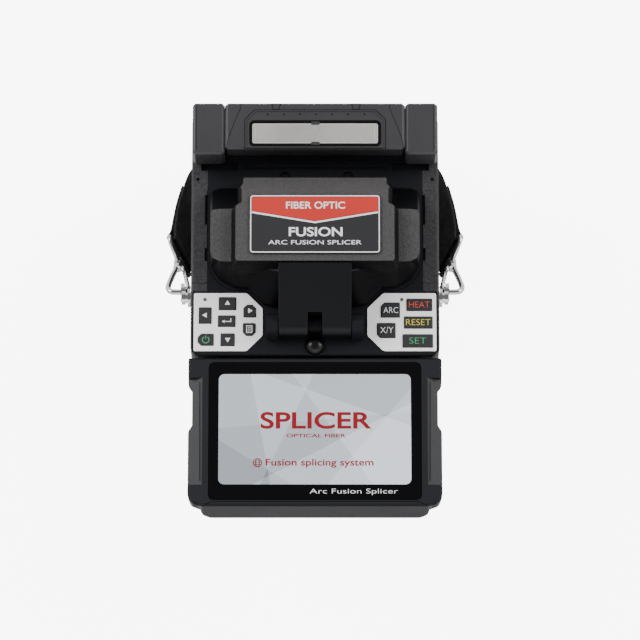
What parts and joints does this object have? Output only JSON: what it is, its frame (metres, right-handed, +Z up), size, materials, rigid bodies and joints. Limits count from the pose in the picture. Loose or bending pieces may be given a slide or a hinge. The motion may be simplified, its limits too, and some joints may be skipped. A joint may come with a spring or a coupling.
{
  "type": "fiber fusion splicer",
  "caption": "Portable fibre fusion splicer with hinged wind cover, tube heater, keypads, fold-down monitor, battery and carrying strap.",
  "frame": {"origin": "middle of the whole object, on the surface that it stands on", "axes": "+X to the operator's right, +Y away from the operator, +Z up"},
  "size_m": [0.1694, 0.244, 0.143],
  "materials": {
    "casing": "satin charcoal",
    "rough_cover": "textured charcoal",
    "rubber": "matt black",
    "metal": "plated steel",
    "white_plate": "satin silver white",
    "key": "silicone key caps",
    "glass": "polished",
    "lens": "frosted",
    "webbing": "woven polyester",
    "board": "solder mask",
    "red": "printed label"
  },
  "bodies": {
    "casing": {"base_shell": "casing", "top_cover": "casing", "foot_front_left": "rubber", "foot_front_right": "rubber", "foot_rear_left": "rubber", "foot_rear_right": "rubber", "arm_bumper": "rubber", "chassis_plate": "metal", "main_board": "board", "high_voltage_unit": "casing", "port_block": "rubber", "v_groove_block": "metal", "electrode_front": "metal", "electrode_rear": "metal", "objective_front": "casing", "objective_rear": "casing", "stage_motor_left": "metal", "stage_motor_right": "metal", "heater_trough": "metal", "heater_hinge_pin": "metal", "cover_hinge_pin": "metal", "monitor_hinge_pin": "metal", "keypad_plate_left": "white_plate", "keypad_plate_right": "white_plate"},
    "wind_cover": {"wind_cover": "rough_cover", "cover_nameplate": "red", "cover_arm": "casing"},
    "heater_lid": {"heater_lid": "casing", "heater_window": "lens"},
    "heater_clamp_left": {"heater_clamp_left": "casing"},
    "heater_clamp_right": {"heater_clamp_right": "casing"},
    "monitor": {"monitor_bezel": "casing", "screen_glass": "glass", "lcd_panel": "casing", "monitor_back": "casing"},
    "stage_left": {"stage_left": "metal"},
    "stage_right": {"stage_right": "metal"},
    "sheath_clamp_left": {"sheath_clamp_left": "casing"},
    "sheath_clamp_right": {"sheath_clamp_right": "casing"},
    "battery": {"battery_pack": "casing"},
    "port_cover": {"port_cover": "rubber"},
    "carrying_strap": {"strap": "webbing", "snap_hook_left": "metal", "snap_hook_right": "metal", "strap_stud_left": "metal", "strap_stud_right": "metal"},
    "gate_left": {"hook_gate_left": "metal"},
    "gate_right": {"hook_gate_right": "metal"},
    "key_arc": {"key_arc": "key"},
    "key_down": {"key_down": "key"},
    "key_enter": {"key_enter": "key"},
    "key_heat": {"key_heat": "key"},
    "key_left": {"key_left": "key"},
    "key_menu": {"key_menu": "key"},
    "key_power": {"key_power": "key"},
    "key_reset": {"key_reset": "key"},
    "key_right": {"key_right": "key"},
    "key_set": {"key_set": "key"},
    "key_up": {"key_up": "key"},
    "key_xy": {"key_xy": "key"}
  },
  "joints": [
    {"name": "wind_cover_hinge", "type": "hinge", "parent": "casing", "child": "wind_cover", "pos_m": [0, -0.01948, 0.119], "axis": [1, 0, 0], "range_deg": [0, 100]},
    {"name": "heater_lid_hinge", "type": "hinge", "parent": "casing", "child": "heater_lid", "pos_m": [0, 0.10442, 0.117], "axis": [-1, 0, 0], "range_deg": [0, 92]},
    {"name": "heater_clamp_left_hinge", "type": "hinge", "parent": "casing", "child": "heater_clamp_left", "pos_m": [-0.06, 0.10442, 0.117], "axis": [-1, 0, 0], "range_deg": [0, 92]},
    {"name": "heater_clamp_right_hinge", "type": "hinge", "parent": "casing", "child": "heater_clamp_right", "pos_m": [0.06, 0.10442, 0.117], "axis": [-1, 0, 0], "range_deg": [0, 92]},
    {"name": "monitor_hinge", "type": "hinge", "parent": "casing", "child": "monitor", "pos_m": [0, -0.04048, 0.0845], "axis": [1, 0, 0], "range_deg": [0, 90]},
    {"name": "stage_left_travel", "type": "slide", "parent": "casing", "child": "stage_left", "axis": [1, 0, 0], "range_m": [0, 0.003]},
    {"name": "stage_right_travel", "type": "slide", "parent": "casing", "child": "stage_right", "axis": [-1, 0, 0], "range_m": [0, 0.003]},
    {"name": "sheath_clamp_left_hinge", "type": "hinge", "parent": "stage_left", "child": "sheath_clamp_left", "pos_m": [-0.0345, 0.04162, 0.1132], "axis": [-1, 0, 0], "range_deg": [0, 88]},
    {"name": "sheath_clamp_right_hinge", "type": "hinge", "parent": "stage_right", "child": "sheath_clamp_right", "pos_m": [0.0345, 0.04162, 0.1132], "axis": [-1, 0, 0], "range_deg": [0, 88]},
    {"name": "battery_slide", "type": "slide", "parent": "casing", "child": "battery", "axis": [-1, 0, 0], "range_m": [0, 0.105]},
    {"name": "port_cover_hinge", "type": "hinge", "parent": "casing", "child": "port_cover", "pos_m": [-0.018, 0.11042, 0.0716], "axis": [-1, 0, 0], "range_deg": [0, 120]},
    {"name": "strap_swing", "type": "hinge", "parent": "casing", "child": "carrying_strap", "pos_m": [0, 0.00302, 0.098], "axis": [1, 0, 0], "range_deg": [0, 145]},
    {"name": "gate_left_hinge", "type": "hinge", "parent": "carrying_strap", "child": "gate_left", "pos_m": [-0.0747, 0.02382, 0.08175], "axis": [0, -0.6157, -0.788], "range_deg": [0, 20], "stiffness_Nm_per_rad": 0.02, "springref_deg": -20.05},
    {"name": "gate_right_hinge", "type": "hinge", "parent": "carrying_strap", "child": "gate_right", "pos_m": [0.0747, 0.02382, 0.08175], "axis": [0, 0.6157, 0.788], "range_deg": [0, 20], "stiffness_Nm_per_rad": 0.02, "springref_deg": -20.05},
    {"name": "key_arc_press", "type": "slide", "parent": "casing", "child": "key_arc", "axis": [0, 0, -1], "range_m": [0, 0.0007], "stiffness_N_per_m": 400, "springref_m": -0.001},
    {"name": "key_down_press", "type": "slide", "parent": "casing", "child": "key_down", "axis": [0, 0, -1], "range_m": [0, 0.0007], "stiffness_N_per_m": 400, "springref_m": -0.001},
    {"name": "key_enter_press", "type": "slide", "parent": "casing", "child": "key_enter", "axis": [0, 0, -1], "range_m": [0, 0.0007], "stiffness_N_per_m": 400, "springref_m": -0.001},
    {"name": "key_heat_press", "type": "slide", "parent": "casing", "child": "key_heat", "axis": [0, 0, -1], "range_m": [0, 0.0007], "stiffness_N_per_m": 400, "springref_m": -0.001},
    {"name": "key_left_press", "type": "slide", "parent": "casing", "child": "key_left", "axis": [0, 0, -1], "range_m": [0, 0.0007], "stiffness_N_per_m": 400, "springref_m": -0.001},
    {"name": "key_menu_press", "type": "slide", "parent": "casing", "child": "key_menu", "axis": [0, 0, -1], "range_m": [0, 0.0007], "stiffness_N_per_m": 400, "springref_m": -0.001},
    {"name": "key_power_press", "type": "slide", "parent": "casing", "child": "key_power", "axis": [0, 0, -1], "range_m": [0, 0.0007], "stiffness_N_per_m": 400, "springref_m": -0.001},
    {"name": "key_reset_press", "type": "slide", "parent": "casing", "child": "key_reset", "axis": [0, 0, -1], "range_m": [0, 0.0007], "stiffness_N_per_m": 400, "springref_m": -0.001},
    {"name": "key_right_press", "type": "slide", "parent": "casing", "child": "key_right", "axis": [0, 0, -1], "range_m": [0, 0.0007], "stiffness_N_per_m": 400, "springref_m": -0.001},
    {"name": "key_set_press", "type": "slide", "parent": "casing", "child": "key_set", "axis": [0, 0, -1], "range_m": [0, 0.0007], "stiffness_N_per_m": 400, "springref_m": -0.001},
    {"name": "key_up_press", "type": "slide", "parent": "casing", "child": "key_up", "axis": [0, 0, -1], "range_m": [0, 0.0007], "stiffness_N_per_m": 400, "springref_m": -0.001},
    {"name": "key_xy_press", "type": "slide", "parent": "casing", "child": "key_xy", "axis": [0, 0, -1], "range_m": [0, 0.0007], "stiffness_N_per_m": 400, "springref_m": -0.001}
  ]
}
